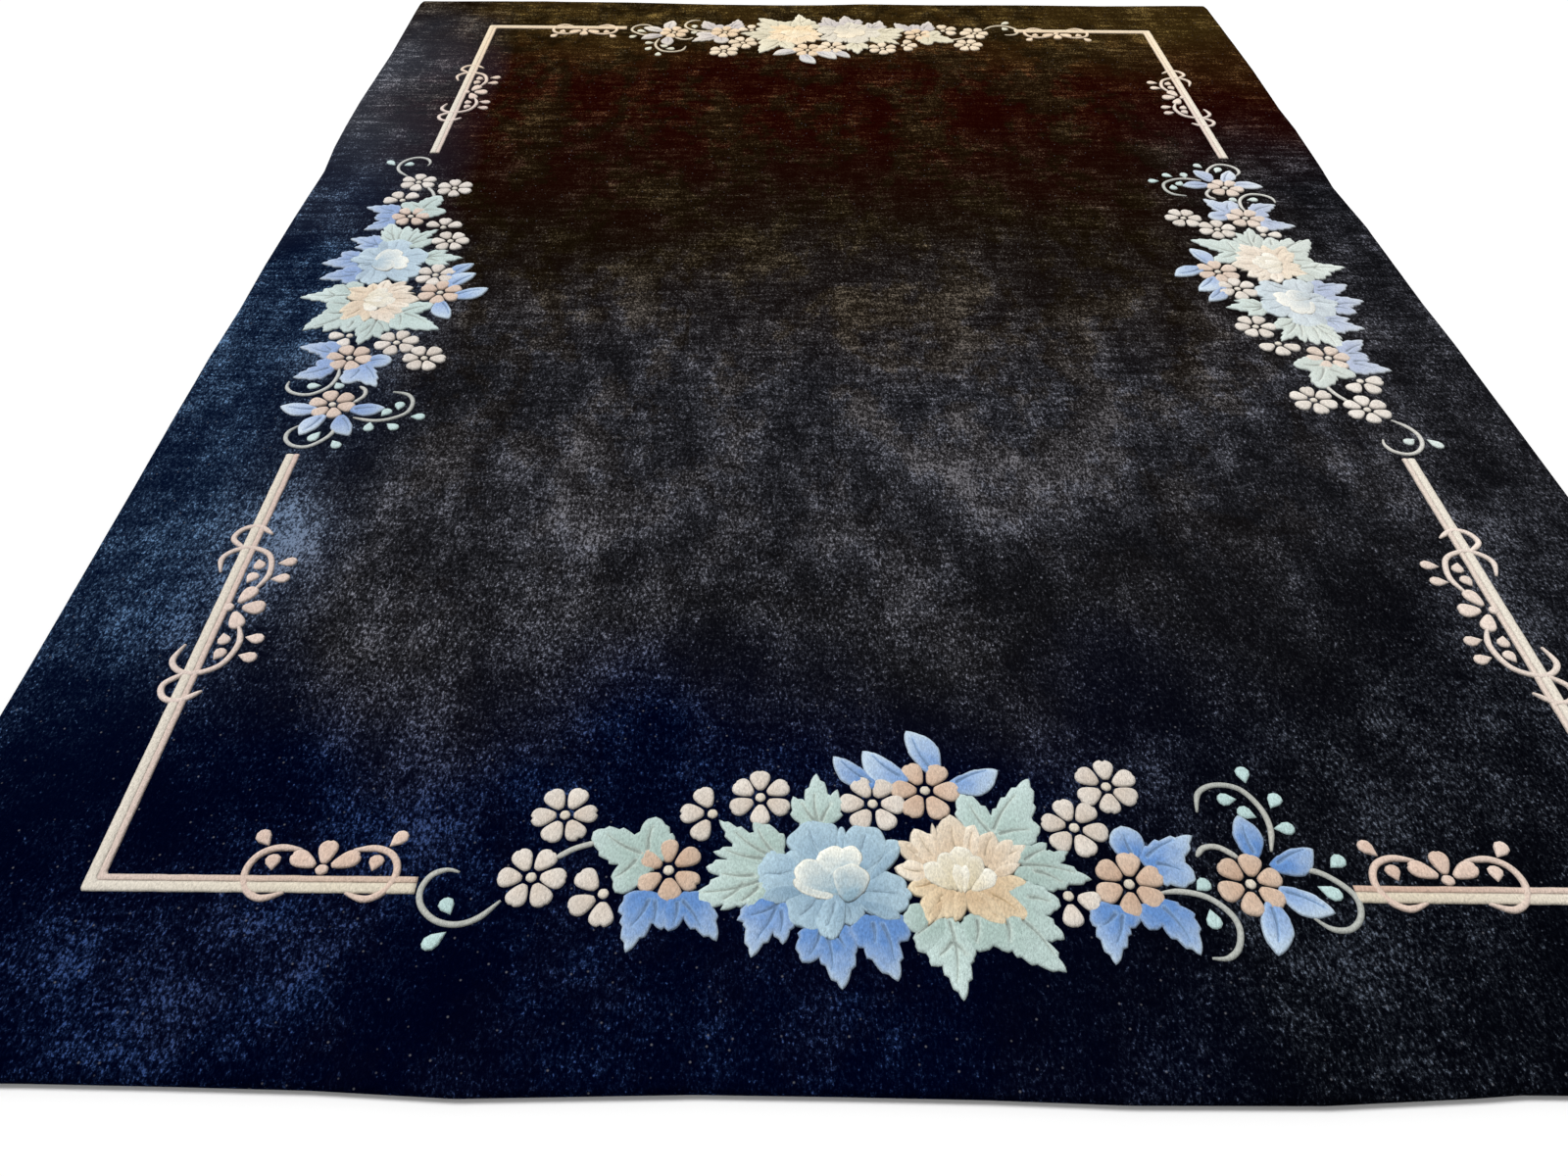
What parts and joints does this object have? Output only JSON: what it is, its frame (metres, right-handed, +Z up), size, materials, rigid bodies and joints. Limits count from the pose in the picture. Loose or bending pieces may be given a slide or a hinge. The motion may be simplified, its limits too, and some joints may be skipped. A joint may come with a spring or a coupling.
{
  "type": "chinese rug",
  "caption": "Large flat wool rug with thick cut pile and a raised carved design of blossoms, peonies, leaves and scrolls along a broken striped border.",
  "frame": {"origin": "middle of the underside, which lies on the floor", "axes": "+X across the rug, +Y along its length, +Z up out of the pile"},
  "size_m": [2.757, 3.7106, 0.0183],
  "materials": {
    "wool_pile": "deep cut wool pile with a soft sheen"
  },
  "bodies": {
    "root": {"rug": "wool_pile"}
  },
  "joints": []
}
